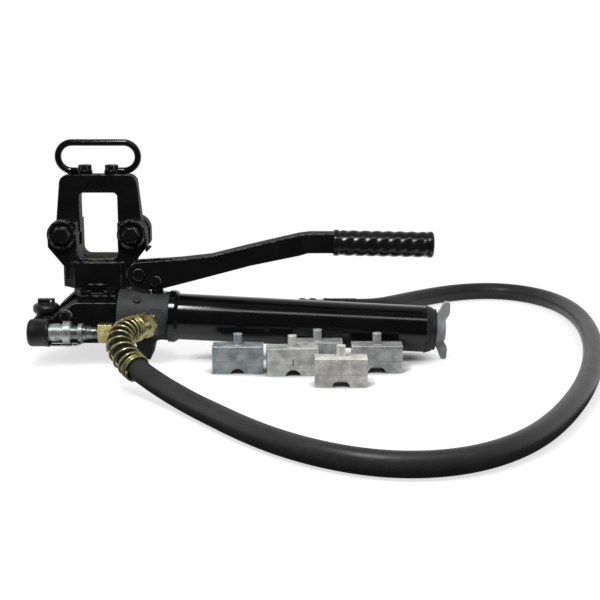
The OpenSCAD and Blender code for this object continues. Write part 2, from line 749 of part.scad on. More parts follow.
// Release valve: gland in the block and a domed knob with an eye on its spindle
spindle_d = 7;
knob_z = knob_seat_z + 4;
module release_gland() {
  color(oil_steel) translate([-knob_x, 0, 0]) difference() {
    translate([0, 0, knob_seat_z - 14]) cylinder(d = gland_bore, h = 17);
    translate([0, 0, knob_seat_z - 20]) cylinder(d = spindle_d + 2 * run_fit, h = 40);
  }
}
module release_knob() {
  color(rubber) translate([-knob_x, 0, 0]) {
    translate([0, 0, block_z0 + 12]) cylinder(d = spindle_d, h = knob_z - block_z0 - 12 + 2);
    translate([0, 0, knob_z]) rotate_extrude()
      polygon([[0, 0], [11, 0], [knob_d / 2 - 1.5, 1], [knob_d / 2, 3.5], [knob_d / 2, 8],
               [knob_d / 2 - 1.5, 10.5], [knob_d / 2 - 4.5, 12], [0, 12.5]]);
    difference() {
      translate([-9, -3.5, knob_z + 11]) cube([19, 7, 6.5]);
      translate([6, 0, knob_z + 14.5]) bar_y(-10, 10, 3.5);
    }
  }
}
module bleed_screw() {
  color(zinc) translate([-6, 0, axis_h]) rotate([42, 0, 0])
    translate([0, 0, collar_d / 2 - 7]) {
      cylinder(d = 6, h = 7.4);
      translate([0, 0, 7.4]) cylinder(d = 9, h = 3);
    }
}
module gallery_plug() {
  color(paint_black) translate([-gallery_x, -block_front - 1, gallery_z]) {
    bar_y(0, 12, 8);
    translate([0, -4, 0]) rotate([-90, 0, 0]) hex_bar(11, 4);
  }
}

// Front coupler: brass adaptor, plated body, sprung sleeve, dust cap and its tether
hex_x = -collar_len / 2 - 3;
hex_len = 16;
adaptor_neck = 10;
body_len = 64;
module coupler_axis() {
  translate([hex_x, -coupler_y, coupler_z]) children();
}
module adaptor() {
  color(brass) coupler_axis() {
    bar_x(-1, 11, adaptor_d);
    bar_x(-hex_len - 4, -1, adaptor_neck);
    rotate([0, -90, 0]) rotate([0, 0, 30]) hex_bar(adaptor_af, hex_len);
  }
}
nipple_d = 16.5;
thread_d = 15.5;
thread_step = 1.5;
module coupler_body() {
  color(zinc) coupler_axis() difference() {
    union() {
      bar_x(-hex_len - 8, -hex_len - 1.5, thread_d - 1.5);
      // Threaded end
      for (i = [0 : 4]) translate([-hex_len - 7.5 - i * thread_step, 0, 0])
        rotate([0, -90, 0]) cylinder(d1 = thread_d - 1.4, d2 = thread_d, h = thread_step);
      bar_x(-hex_len - 18, -hex_len - 15, nipple_d + 1.5);
      bar_x(-hex_len - body_len + 18, -hex_len - 7.5, thread_d - 2);
      bar_x(-hex_len - body_len + 18, -hex_len - 16, nipple_d);
      bar_x(-hex_len - body_len, -hex_len - body_len + 20, 12);
    }
    bar_x(-hex_len - 5, 0, adaptor_neck + 2 * run_fit);
    bar_x(-hex_len - body_len - 1, -hex_len, 6);
  }
}
sleeve_x = -hex_len - 31.5;
sleeve_len = 26;
flange_ring_d = 27;
module coupler_sleeve() {
  color(zinc) coupler_axis() difference() {
    union() {
      bar_x(sleeve_x - sleeve_len, sleeve_x, nipple_d + 2.6);
      bar_x(sleeve_x - 9, sleeve_x - 0.8, flange_ring_d);
      bar_x(sleeve_x - 22.5, sleeve_x - 13.5, nipple_d + 5);
      bar_x(sleeve_x - sleeve_len, sleeve_x - 24, nipple_d + 4);
    }
    bar_x(sleeve_x - sleeve_len - 1, sleeve_x + 1, nipple_d + 2 * run_fit);
  }
}
dust_x = sleeve_x - sleeve_len + 1;
dust_len = 25;
module dust_cap() {
  color(rubber) coupler_axis() difference() {
    union() {
      bar_x(dust_x - dust_len + 4, dust_x, dust_d - 1);
      bar_x(dust_x - 3, dust_x, dust_d);
      translate([dust_x - dust_len + 4, 0, 0]) rotate([0, -90, 0])
        cylinder(d1 = dust_d - 1, d2 = dust_d - 8, h = 4);
    }
    bar_x(dust_x - dust_len + 5, dust_x + 1, nipple_d + 4 + 2 * gap);
  }
}
strap_t = 1.5;
strap_z0 = nipple_d / 2 + 1.6;
strap_z1 = flange_ring_d / 2 + gap;
strap_x1 = dust_x + gap;
module cap_tether() {
  color(zinc) coupler_axis() {
    difference() {
      bar_x(-hex_len - 23, -hex_len - 18.5, nipple_d + 5);
      bar_x(-hex_len - 24, -hex_len - 18, nipple_d + 2 * run_fit);
    }
    // Strap that steps down past the sleeve and ends at the dust cap's rim
    plate_y(-4, 4) polygon([
      [-hex_len - 18.5, -strap_z0], [-hex_len - 26, -strap_z1], [strap_x1, -strap_z1],
      [strap_x1, -strap_z1 - strap_t], [-hex_len - 26.5, -strap_z1 - strap_t],
      [-hex_len - 18.5, -strap_z0 - strap_t - 1]
    ]);
  }
}

// Hose end on the port: washer, swivel nut, ferrule, spring guard and the hose
module port_washer() {
  color(zinc) port_frame() difference() {
    cylinder(d = boss_d - 2, h = washer_t);
    translate([0, 0, -1]) cylinder(d = adaptor_d + 2 * run_fit, h = 10);
  }
}
module swivel_nut() {
  color(brass) port_frame() {
    translate([0, 0, -14]) cylinder(d = adaptor_d, h = 14 + washer_t);
    translate([0, 0, washer_t]) hex_bar(swivel_af, nut_len);
  }
}
module hose_ferrule() {
  color(brass) port_frame() translate([0, 0, washer_t + nut_len])
    cylinder(d = ferrule_d, h = ferrule_len);
}
hose_sides = 10;
hose_rings = 76;
function hose_ring(u, r) =
  let (c = route_at(route, u), t = heading(route, u))
  [for (k = [0 : hose_sides - 1]) let (a = 360 * (k + 0.5) / hose_sides)
    c + r * (cos(a) * across(t) + sin(a) * above(t))];
module hose() {
  last = len(route) - 1;
  pts = [for (i = [0 : hose_rings - 1], p = hose_ring(last * i / (hose_rings - 1), hose_d / 2)) p];
  color(rubber) polyhedron(pts, tube_faces(hose_rings, hose_sides));
}
// Spring guard: a helix about the ferrule and the first reach of the hose
guard_sides = 6;
guard_steps = 8;
guard_slip = 0.6;
guard_r = (hose_d / 2 + guard_slip + guard_wire / 2) / cos(180 / guard_steps);
guard_u0 = 0.05;
guard_u1 = 4.6;
guard_total = guard_curls * guard_steps;
function guard_u(i) = guard_u0 + (guard_u1 - guard_u0) * i / guard_total;
function guard_at(i) =
  let (u = guard_u(i), t = heading(route, u), a = 360 * i / guard_steps)
  route_at(route, u) + guard_r * (cos(a) * across(t) + sin(a) * above(t));
guard_line = [for (i = [0 : guard_total]) guard_at(i)];
function guard_ring(i) =
  let (t = unit(guard_line[min(i + 1, guard_total)] - guard_line[max(i - 1, 0)]),
       n = unit(guard_line[i] - route_at(route, guard_u(i))),
       b = unit(cross(t, n)), m = cross(b, t))
  [for (k = [0 : guard_sides - 1]) let (a = 360 * k / guard_sides)
    guard_line[i] + guard_wire / 2 * (cos(a) * m + sin(a) * b)];
guard_gap = min([for (i = [0 : guard_total - guard_steps], d = [-1 : 1])
  norm(guard_line[i] - guard_line[min(i + guard_steps + d, guard_total)])]) - guard_wire;
module spring_guard() {
  echo(least_gap_between_guard_curls = guard_gap);
  pts = [for (i = [0 : guard_total], p = guard_ring(i)) p];
  color(brass) polyhedron(pts, tube_faces(guard_total + 1, guard_sides));
}

// Free end of the hose: ferrule, coupler body and its sleeve
module free_axis() {
  translate(free_end) children();
}
socket_d = 14;
module free_ferrule() {
  color(zinc) free_axis() {
    bar_x(-22, -hose_seat, ferrule_d);
    rotate([0, -90, 0]) translate([0, 0, 22]) hex_bar(22, free_len - 22);
  }
}
module free_coupler() {
  color(zinc) free_axis() translate([-free_len, 0, 0]) difference() {
    union() {
      bar_x(-free_body, 0, 22);
      bar_x(-5, 0, 26);
    }
    bar_x(-free_body - 1, -free_body + 24, socket_d);
  }
}
module free_sleeve() {
  color(zinc) free_axis() translate([-free_len, 0, 0]) difference() {
    union() {
      bar_x(-free_body + 4, -14, free_d - 3);
      bar_x(-free_body + 6, -free_body + 14, free_d);
      bar_x(-24, -16, free_d);
    }
    bar_x(-free_body, 0, 22 + 2 * run_fit);
  }
}

// Loose dies standing on the floor, each with its own half-round groove
groove_drop = 2;
module die(place, turn, n) {
  color(zinc) translate([place[0], place[1], 0]) rotate([0, 0, turn]) difference() {
    union() {
      translate([-die_w / 2, 0, 0]) cube([die_w, die_t, die_h]);
      translate([0, die_t / 2, die_h - 1]) cylinder(d = die_pin_d, h = 14);
    }
    translate([0, 0, -groove_drop]) bar_y(-1, die_t + 1, 2 * (groove_r + n * groove_step));
  }
}
// Line in front of the tube that the dies stand from
die_row = 1 - tube_d / 2;
module die_1() { die([113.5, die_row - die_t - 20], 0, 0); }
module die_2() { die([177, die_row - 2 * die_t - 4.5], 5, 1); }
module die_3() { die([205, die_row - die_t], 0, 2); }
module die_4() { die([230, die_row - 4 * die_t - 3], 0, 3); }
module die_5() { die([273, die_row - die_t - 17], 0, 4); }

pump_block();
pump_collar();
clamp_ring();
reservoir_tube();
rear_cap();
tie_rod();
wing_nut();
front_seal();
rear_seal();
suction_filter();
check_ball();
press_body();
yoke();
left_pin();
right_pin();
pin_lock_screw();
carry_ring();
ring_bolts();
ram();
ram_seal();
seat_bolts();
lever();
lever_grip();
fulcrum_pin();
link_pin();
plunger();
plunger_gland();
release_knob();
release_gland();
bleed_screw();
gallery_plug();
adaptor();
coupler_body();
coupler_sleeve();
dust_cap();
cap_tether();
port_washer();
swivel_nut();
hose_ferrule();
spring_guard();
hose();
free_ferrule();
free_coupler();
free_sleeve();
die_1();
die_2();
die_3();
die_4();
die_5();
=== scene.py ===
import math
import bpy
import numpy as np
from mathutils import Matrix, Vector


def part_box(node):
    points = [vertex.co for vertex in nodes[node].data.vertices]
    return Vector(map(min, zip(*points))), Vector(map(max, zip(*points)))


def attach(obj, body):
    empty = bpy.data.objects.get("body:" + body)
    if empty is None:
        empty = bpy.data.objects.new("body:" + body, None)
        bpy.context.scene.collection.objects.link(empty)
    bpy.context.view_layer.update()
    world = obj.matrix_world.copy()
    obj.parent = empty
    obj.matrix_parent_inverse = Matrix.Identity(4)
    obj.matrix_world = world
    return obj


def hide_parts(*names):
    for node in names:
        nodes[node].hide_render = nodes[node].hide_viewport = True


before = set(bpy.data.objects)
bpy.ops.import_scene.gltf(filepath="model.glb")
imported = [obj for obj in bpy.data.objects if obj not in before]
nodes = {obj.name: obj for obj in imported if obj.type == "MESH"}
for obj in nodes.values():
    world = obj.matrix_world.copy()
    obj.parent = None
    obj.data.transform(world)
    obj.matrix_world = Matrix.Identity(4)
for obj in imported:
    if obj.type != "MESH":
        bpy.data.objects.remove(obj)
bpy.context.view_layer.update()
scene = bpy.context.scene
scene.view_settings.view_transform = "Standard"
mm = 0.001
upright = np.array([0.0, 0.0, 1.0])
print("frame loaded:", len(nodes), "nodes")

# camera at the photograph's viewing angle
cameraView = {"lens": 72.0, "sensor": 36.0, "place": (0.1848, -1.394, 0.368), "tilt": 78.0, "farthest": 50}
cameraData = bpy.data.cameras.new("photoCamera")
cameraData.lens = cameraView["lens"]
cameraData.sensor_width = cameraView["sensor"]
cameraData.clip_end = cameraView["farthest"]
camera = bpy.data.objects.new("photoCamera", cameraData)
camera.location = cameraView["place"]
camera.rotation_euler = (math.radians(cameraView["tilt"]), 0, 0)
scene.collection.objects.link(camera)
scene.camera = camera


# unit length along the last axis
def unit(v):
    return v / np.linalg.norm(v, axis=-1, keepdims=True)


# uniform cubic spline: ((1-t)^3 a + (3t^3-6t^2+4) b + (-3t^3+3t^2+3t+1) c + t^3 d) / 6,
# with one more point in a straight line past each end; u counts the given points
def routeAt(points, u):
    p = np.vstack([2 * points[0] - points[1], points, 2 * points[-1] - points[-2]])
    i = np.clip(np.floor(u), 0, len(points) - 2).astype(int)
    t = (u - i)[:, None]
    a, b, c, d = p[i], p[i + 1], p[i + 2], p[i + 3]
    return ((1 - t) ** 3 * a + (3 * t**3 - 6 * t**2 + 4) * b
            + (-3 * t**3 + 3 * t**2 + 3 * t + 1) * c + t**3 * d) / 6


# running length of a line of points
def runLength(line):
    return np.concatenate([[0], np.cumsum(np.linalg.norm(np.diff(line, axis=0), axis=1))])


# two directions square to a line, the first one level
def lineFrame(line):
    heading = unit(np.gradient(line, axis=0))
    across = unit(np.cross(heading, upright))
    return across, np.cross(across, heading)


# a ring carried along a line: p + r (cos a * sideways + sin a * upwards)
def tubeGrid(line, sideways, upwards, radius, count):
    a = np.linspace(0, 2 * np.pi, count, endpoint=False)
    ring = (np.cos(a)[None, :, None] * sideways[:, None, :]
            + np.sin(a)[None, :, None] * upwards[:, None, :])
    return line[:, None, :] + np.broadcast_to(radius, (len(line), count))[:, :, None] * ring


# a profile of (run, radius) turned about a lying axis through start;
# a grid of radii may take the place of the profile's own
def turnedGrid(start, axis, profile, count, radius=None):
    axis = unit(np.array(axis, float))
    across = unit(np.cross(axis, upright))
    line = np.array(start, float) + profile[:, :1] * axis
    rows = (len(profile), 1)
    size = profile[:, 1:2] if radius is None else radius
    return tubeGrid(line, np.tile(across, rows), np.tile(np.cross(across, axis), rows), size, count)


# puts a grid of rings into a mesh, closed round each ring and by a centre point at both ends;
# the UV map holds metres along and turns round
def gridPiece(name, grid):
    rows, cols = grid.shape[:2]
    i, j = np.meshgrid(np.arange(rows - 1), np.arange(cols), indexing="ij")
    i, j = i.ravel(), j.ravel()
    k = (j + 1) % cols
    quads = np.stack([i * cols + j, i * cols + k, (i + 1) * cols + k, (i + 1) * cols + j], 1)
    along = runLength(grid.mean(axis=1))
    quadUv = np.stack([along[i], j / cols, along[i], (j + 1) / cols,
                       along[i + 1], (j + 1) / cols, along[i + 1], j / cols], 1)
    points = grid.reshape(-1, 3)
    faces = quads.tolist()
    uv = [quadUv.reshape(-1, 2)]
    ring = np.arange(cols)
    nextRing = (ring + 1) % cols
    for row, first, second in ((0, nextRing, ring), (rows - 1, ring, nextRing)):
        centre = np.full(cols, len(points))
        points = np.vstack([points, grid[row].mean(axis=0)])
        faces += np.stack([row * cols + first, row * cols + second, centre], 1).tolist()
        end = np.full(cols, along[row])
        fanUv = np.stack([end, first / cols, end, second / cols, end, ring / cols], 1)
        uv.append(fanUv.reshape(-1, 2))
    mesh = bpy.data.meshes.new(name)
    mesh.from_pydata(points.tolist(), [], faces)
    layer = mesh.uv_layers.new(name="surface")
    layer.data.foreach_set("uv", np.concatenate(uv).ravel().astype(np.float32))
    mesh.polygons.foreach_set("use_smooth", np.ones(len(mesh.polygons), bool))
    mesh.update()
    piece = bpy.data.objects.new(name, mesh)
    scene.collection.objects.link(piece)
    return piece


# gives a piece its finish in a new slot and its body, and hides the node that it stands for
def setPiece(piece, finish, body, stoodFor):
    piece.data.materials.append(finish)
    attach(piece, body)
    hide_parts(stoodFor)
    return piece


# a shader node with its settings; an input is a value or another node's output
def addNode(tree, kind, inputs=None, **settings):
    made = tree.nodes.new(kind)
    for key, value in settings.items():
        setattr(made, key, value)
    for key, value in (inputs or {}).items():
        if isinstance(value, bpy.types.NodeSocket):
            tree.links.new(value, made.inputs[key])
        else:
            made.inputs[key].default_value = value
    return made


# an empty finish, with its shader and the place on the piece
def startFinish(name):
    finish = bpy.data.materials.new(name)
    finish.use_nodes = True
    tree = finish.node_tree
    place = addNode(tree, "ShaderNodeTexCoord").outputs["Object"]
    return finish, tree, tree.nodes["Principled BSDF"], place


# noise over the piece, drawn out by stretch where it is given
def noiseAt(tree, place, scale, detail, rough=0.55, stretch=None):
    if stretch:
        place = addNode(tree, "ShaderNodeMapping", {"Vector": place, "Scale": stretch}).outputs["Vector"]
    noise = addNode(tree, "ShaderNodeTexNoise",
                    {"Vector": place, "Scale": scale, "Detail": detail, "Roughness": rough})
    return noise.outputs["Fac"]


# straight ramp from (low, high) to (outLow, outHigh), level past its ends
def remap(tree, value, low, high, outLow, outHigh):
    ramp = addNode(tree, "ShaderNodeMapRange",
                   {"Value": value, "From Min": low, "From Max": high, "To Min": outLow, "To Max": outHigh})
    return ramp.outputs["Result"]


# first colour at share 0, second colour at share 1
def blendColour(tree, share, first, second):
    made = tree.nodes.new("ShaderNodeMix")
    made.data_type = "RGBA"
    tree.links.new(share, made.inputs[0])
    for spot, value in ((6, first), (7, second)):  # the Mix node's two colour inputs
        if isinstance(value, bpy.types.NodeSocket):
            tree.links.new(value, made.inputs[spot])
        else:
            made.inputs[spot].default_value = (*value, 1)
    return made.outputs[2]  # its colour output


# two values joined by one Math node, kept between 0 and 1 unless free
def joinValues(tree, how, first, second, free=False):
    joined = addNode(tree, "ShaderNodeMath", {0: first, 1: second}, operation=how, use_clamp=not free)
    return joined.outputs[0]


# a look's dark and light colours, mixed by clouds
def mottle(tree, cloud, ramp, look):
    return blendColour(tree, remap(tree, cloud, *ramp, 0, 1), look["dark"], look["light"])


# roughness that follows a noise, from its first value to its last
glossRamp = (0.3, 0.7)


def unevenGloss(tree, shader, noise, first, last):
    tree.links.new(remap(tree, noise, *glossRamp, first, last), shader.inputs["Roughness"])


# bump on top of a normal, or on the surface's own where none is given
def addBump(tree, shader, strength, depth, height, normal=None):
    bump = addNode(tree, "ShaderNodeBump", {"Strength": strength, "Distance": depth, "Height": height})
    if normal is not None:
        tree.links.new(normal, bump.inputs["Normal"])
    tree.links.new(bump.outputs["Normal"], shader.inputs["Normal"])


# rounded-edge normal, and a mask that is 1 on outer edges: 1 - (rounded normal . flat normal)
edgeSettings = {"samples": 6, "ramp": (0.985, 0.80)}


def softEdges(tree, radius):
    bevel = addNode(tree, "ShaderNodeBevel", {"Radius": radius}, samples=edgeSettings["samples"])
    rounded = bevel.outputs["Normal"]
    flat = addNode(tree, "ShaderNodeNewGeometry").outputs["Normal"]
    agree = addNode(tree, "ShaderNodeVectorMath", {0: rounded, 1: flat}, operation="DOT_PRODUCT")
    return rounded, remap(tree, agree.outputs["Value"], *edgeSettings["ramp"], 0, 1)


# paint, enamel, castings and moulded plastic: mottled colour, uneven gloss, skin bump, rubbed edges that
# are partly a painted edge highlight
paintSettings = {"cloudRamp": (0.35, 0.65), "fleckScale": 900, "fleckRamp": (0.66, 0.74), "rubScale": 160,
                 "rubRamp": (0.42, 0.62), "bumpDepth": 0.0004}


def paintFinish(name, look):
    finish, tree, shader, place = startFinish(name)
    rounded, edge = softEdges(tree, look["edge"])
    cloud = noiseAt(tree, place, look["cloud"], detail=4)
    grain = noiseAt(tree, place, look["grain"], detail=2, rough=0.6)
    fleck = noiseAt(tree, place, paintSettings["fleckScale"], detail=1)
    fleck = remap(tree, fleck, *paintSettings["fleckRamp"], 0, look["fleck"])
    body = mottle(tree, cloud, paintSettings["cloudRamp"], look)
    body = blendColour(tree, fleck, body, look["rub"])
    # rubbed edges: the edge mask lays the rub colour on outer edges, partly as wear and partly as a painted
    # edge highlight
    rub = noiseAt(tree, place, paintSettings["rubScale"], detail=3)
    rub = joinValues(tree, "MULTIPLY", edge, remap(tree, rub, *paintSettings["rubRamp"], 0, look["wear"]))
    tree.links.new(blendColour(tree, rub, body, look["rub"]), shader.inputs["Base Color"])
    unevenGloss(tree, shader, cloud, *look["rough"])
    addBump(tree, shader, look["bump"], paintSettings["bumpDepth"], grain, rounded)
    shader.inputs["Specular IOR Level"].default_value = look["spec"]
    shader.inputs["IOR"].default_value = look.get("ior", 1.5)
    return finish


# marks of a die and a painted shade: 1 where |z - seam| is small, in a short slit where |x - slit| is
# small, and on the groove's downward faces as painted shade
markAndShadeSettings = {"seamReach": 0.00035, "slitReach": (0.0007, 0.0042), "grooveShadeRamp": (-0.15, -0.6),
                "grooveShade": 0.9}


def dieMarksAndShade(tree, place, look):
    spot = addNode(tree, "ShaderNodeSeparateXYZ", {0: place})
    slitX, slitZ = look["slit"]
    reachX, reachZ = markAndShadeSettings["slitReach"]
    bands = (("Z", look["seam"], markAndShadeSettings["seamReach"]), ("X", slitX, reachX), ("Z", slitZ, reachZ))
    near = [addNode(tree, "ShaderNodeMath", {0: spot.outputs[axis], 1: middle, 2: reach},
                    operation="COMPARE").outputs[0] for axis, middle, reach in bands]
    seam = joinValues(tree, "MULTIPLY", near[0], look["seamDepth"])
    slit = joinValues(tree, "MULTIPLY", near[1], near[2])
    slit = joinValues(tree, "MULTIPLY", slit, look["slitDepth"])
    # painted shade: faces turned down into the groove are darkened towards the mark colour
    facing = addNode(tree, "ShaderNodeNewGeometry").outputs["Normal"]
    down = addNode(tree, "ShaderNodeSeparateXYZ", {0: facing}).outputs["Z"]
    paintedGrooveShade = remap(tree, down, *markAndShadeSettings["grooveShadeRamp"], 0, markAndShadeSettings["grooveShade"])
    return joinValues(tree, "MAXIMUM", joinValues(tree, "MAXIMUM", seam, slit), paintedGrooveShade)


# plated or machined metal: brushed grain stretched along one axis, cloudy tarnish, brighter edges that are
# partly wear and partly a painted highlight
metalSettings = {"cloudRamp": (0.36, 0.64), "streakRamp": (0.30, 0.52), "bumpDepth": 0.0002}


def metalFinish(name, look):
    finish, tree, shader, place = startFinish(name)
    rounded, edge = softEdges(tree, look["edge"])
    brush = noiseAt(tree, place, 1.0, detail=3, rough=0.65, stretch=look["brush"])
    cloud = noiseAt(tree, place, look["cloud"], detail=5, rough=0.6)
    body = mottle(tree, cloud, metalSettings["cloudRamp"], look)
    streak = remap(tree, brush, *metalSettings["streakRamp"], look["streak"], 0)
    body = blendColour(tree, streak, body, look["dark"])
    if "seam" in look:
        # seam and slit marks, and a painted shade on the groove's downward faces, in the mark colour
        body = blendColour(tree, dieMarksAndShade(tree, place, look), body, look["markAndShade"])
    # brighter edges: partly wear, partly a painted edge highlight
    rub = joinValues(tree, "MULTIPLY", edge, look["wear"])
    tree.links.new(blendColour(tree, rub, body, look["rub"]), shader.inputs["Base Color"])
    smooth, rough = look["rough"]
    unevenGloss(tree, shader, brush, rough, smooth)
    addBump(tree, shader, look["bump"], metalSettings["bumpDepth"], brush, rounded)
    shader.inputs["Metallic"].default_value = look["metal"]
    shader.inputs["Specular IOR Level"].default_value = look.get("spec", 0.5)
    return finish


# rubber: dull bloom in clouds, fine moulded grain, uneven sheen; a painted shade on the start of the hose,
# under the spring guard
rubberSettings = {"cloudRamp": (0.36, 0.64), "dustScale": 420, "dustRamp": (0.60, 0.80), "guardShadeFade": 0.004,
                  "bumpDepth": 0.0003}


def rubberFinish(name, look):
    finish, tree, shader, place = startFinish(name)
    cloud = noiseAt(tree, place, look["cloud"], detail=5, rough=0.6)
    grain = noiseAt(tree, place, look["grain"], detail=2, rough=0.7)
    dust = noiseAt(tree, place, rubberSettings["dustScale"], detail=2)
    dust = remap(tree, dust, *rubberSettings["dustRamp"], 0, look["dust"])
    body = mottle(tree, cloud, rubberSettings["cloudRamp"], look)
    # painted shade: the hose is darker along the stretch that the spring guard covers
    if "guardShade" in look:
        surface = addNode(tree, "ShaderNodeTexCoord").outputs["UV"]
        along = addNode(tree, "ShaderNodeSeparateXYZ", {0: surface}).outputs["X"]
        guardShade = remap(tree, along, look["guardShade"], look["guardShade"] - rubberSettings["guardShadeFade"], 0, 1)
        body = blendColour(tree, guardShade, body, look["guardShadeColour"])
    tree.links.new(blendColour(tree, dust, body, look["rub"]), shader.inputs["Base Color"])
    unevenGloss(tree, shader, cloud, *look["rough"])
    rounded = softEdges(tree, look["edge"])[0] if "edge" in look else None
    addBump(tree, shader, look["bump"], rubberSettings["bumpDepth"], grain, rounded)
    shader.inputs["Specular IOR Level"].default_value = look["spec"]
    return finish


blackPaint = paintFinish("blackPaint", {
    "edge": 0.0015, "cloud": 35, "grain": 520, "fleck": 0.0, "dark": (0.0018, 0.0018, 0.0020),
    "light": (0.0032, 0.0032, 0.0034), "rub": (0.36, 0.36, 0.35), "wear": 0.8, "rough": (0.50, 0.64),
    "bump": 0.10, "spec": 0.24, "ior": 1.32})
glossEnamel = paintFinish("glossEnamel", {
    "edge": 0.0008, "cloud": 12, "grain": 160, "fleck": 0.0, "dark": (0.0018, 0.0018, 0.002),
    "light": (0.0030, 0.0030, 0.0032), "rub": (0.05, 0.05, 0.05), "wear": 0.3, "rough": (0.10, 0.17),
    "bump": 0.010, "spec": 0.34})
greyCast = paintFinish("greyCast", {
    "edge": 0.0016, "cloud": 60, "grain": 900, "fleck": 0.2, "dark": (0.022, 0.0235, 0.024),
    "light": (0.035, 0.0365, 0.0375), "rub": (0.15, 0.15, 0.155), "wear": 0.5, "rough": (0.55, 0.70),
    "bump": 0.30, "spec": 0.25})
darkCast = paintFinish("darkCast", {
    "edge": 0.0016, "cloud": 60, "grain": 800, "fleck": 0.15, "dark": (0.009, 0.0095, 0.010),
    "light": (0.017, 0.0175, 0.018), "rub": (0.14, 0.145, 0.145), "wear": 0.6, "rough": (0.42, 0.56),
    "bump": 0.25, "spec": 0.2})
wingCast = paintFinish("wingCast", {
    "edge": 0.0012, "cloud": 90, "grain": 700, "fleck": 0.3, "dark": (0.16, 0.17, 0.17),
    "light": (0.27, 0.28, 0.28), "rub": (0.55, 0.55, 0.54), "wear": 0.6, "rough": (0.42, 0.58),
    "bump": 0.35, "spec": 0.5})
knobPlastic = paintFinish("knobPlastic", {
    "edge": 0.0012, "cloud": 50, "grain": 1300, "fleck": 0.0, "dark": (0.003, 0.003, 0.0033),
    "light": (0.006, 0.006, 0.0063), "rub": (0.07, 0.07, 0.07), "wear": 0.4, "rough": (0.34, 0.46),
    "bump": 0.15, "spec": 0.4})
zincLook = {
    "edge": 0.0006, "cloud": 110, "brush": (900, 60, 60), "dark": (0.065, 0.071, 0.072),
    "light": (0.22, 0.23, 0.23), "rub": (0.88, 0.89, 0.89), "wear": 0.9, "streak": 0.5,
    "rough": (0.24, 0.42), "bump": 0.10, "metal": 0.9}
brightZinc = metalFinish("brightZinc", zincLook)
sleeveZinc = metalFinish("sleeveZinc", {
    **zincLook, "dark": (0.15, 0.16, 0.159), "light": (0.48, 0.497, 0.489), "streak": 0.35,
    "rough": (0.30, 0.48), "metal": 0.7})
darkZinc = metalFinish("darkZinc", {
    **zincLook, "dark": (0.025, 0.025, 0.026), "light": (0.06, 0.06, 0.062), "rub": (0.30, 0.30, 0.30),
    "wear": 0.5, "rough": (0.22, 0.40), "metal": 0.8})
dieLook = {
    "edge": 0.0013, "cloud": 75, "brush": (22, 22, 700), "dark": (0.222, 0.231, 0.228),
    "light": (0.434, 0.446, 0.437), "rub": (0.90, 0.91, 0.89), "wear": 0.85, "streak": 0.4,
    "rough": (0.34, 0.5), "bump": 0.14, "metal": 0.35, "seam": 0.0142, "seamDepth": 0.3,
    "slit": (0.177, 0.0155), "slitDepth": 0.0, "markAndShade": (0.05, 0.05, 0.05)}
dieSteel = metalFinish("dieSteel", dieLook)
coolDieSteel = metalFinish("coolDieSteel", {
    **dieLook, "dark": (0.18, 0.198, 0.206), "light": (0.351, 0.384, 0.399)})
slitDieSteel = metalFinish("slitDieSteel", {
    **dieLook, "dark": (0.32, 0.327, 0.317), "light": (0.62, 0.634, 0.615), "slitDepth": 0.85})
warmDieSteel = metalFinish("warmDieSteel", {
    **dieLook, "dark": (0.385, 0.379, 0.357), "light": (0.746, 0.737, 0.693), "rub": (0.92, 0.90, 0.83)})
paleBrass = metalFinish("paleBrass", {
    "edge": 0.0007, "cloud": 55, "brush": (500, 60, 60), "dark": (0.22, 0.197, 0.064),
    "light": (0.47, 0.43, 0.19), "rub": (0.95, 0.93, 0.62), "wear": 0.9, "streak": 0.15,
    "rough": (0.16, 0.28), "bump": 0.025, "metal": 0.88})
guardWire = metalFinish("guardWire", {
    "edge": 0.0003, "cloud": 150, "brush": (260, 260, 260), "dark": (0.175, 0.16, 0.066),
    "light": (0.66, 0.62, 0.32), "rub": (0.8, 0.75, 0.5), "wear": 0.0, "streak": 0.5,
    "rough": (0.20, 0.38), "bump": 0.08, "metal": 0.85})
oliveZinc = metalFinish("oliveZinc", {
    "edge": 0.0009, "cloud": 90, "brush": (60, 60, 800), "dark": (0.008, 0.0072, 0.003),
    "light": (0.022, 0.020, 0.009), "rub": (0.32, 0.29, 0.15), "wear": 0.8, "streak": 0.4,
    "rough": (0.55, 0.7), "bump": 0.08, "metal": 0.0, "spec": 0.016})
pinSteel = metalFinish("pinSteel", {
    "edge": 0.0008, "cloud": 90, "brush": (80, 500, 80), "dark": (0.014, 0.0143, 0.015),
    "light": (0.04, 0.041, 0.042), "rub": (0.4, 0.4, 0.4), "wear": 0.6, "streak": 0.3,
    "rough": (0.3, 0.45), "bump": 0.08, "metal": 0.5, "spec": 0.15})
gripRubber = rubberFinish("gripRubber", {
    "cloud": 70, "grain": 1500, "dust": 0.12, "dark": (0.0030, 0.0030, 0.0032),
    "light": (0.0055, 0.0055, 0.0058), "rub": (0.04, 0.04, 0.04), "rough": (0.20, 0.28), "bump": 0.05,
    "spec": 0.38})
capRubber = rubberFinish("capRubber", {
    "cloud": 80, "grain": 1600, "dust": 0.15, "dark": (0.0035, 0.0035, 0.0037),
    "light": (0.0065, 0.0065, 0.0068), "rub": (0.06, 0.06, 0.06), "rough": (0.40, 0.52), "bump": 0.12,
    "spec": 0.3})
# hose rubber, with a painted shade along the stretch under the spring guard
hoseRubber = rubberFinish("hoseRubber", {
    "cloud": 28, "grain": 1300, "dust": 0.16, "dark": (0.012, 0.012, 0.0122),
    "light": (0.019, 0.019, 0.0193), "rub": (0.05, 0.05, 0.05), "rough": (0.37, 0.47), "bump": 0.12,
    "spec": 0.29, "guardShade": 0.108, "guardShadeColour": (0.0045, 0.0040, 0.0022)})
sealRubber = rubberFinish("sealRubber", {
    "edge": 0.0004, "cloud": 80, "grain": 1500, "dust": 0.1, "dark": (0.010, 0.010, 0.010),
    "light": (0.018, 0.018, 0.018), "rub": (0.06, 0.06, 0.06), "rough": (0.4, 0.5), "bump": 0.1,
    "spec": 0.4})
print("finishes made")

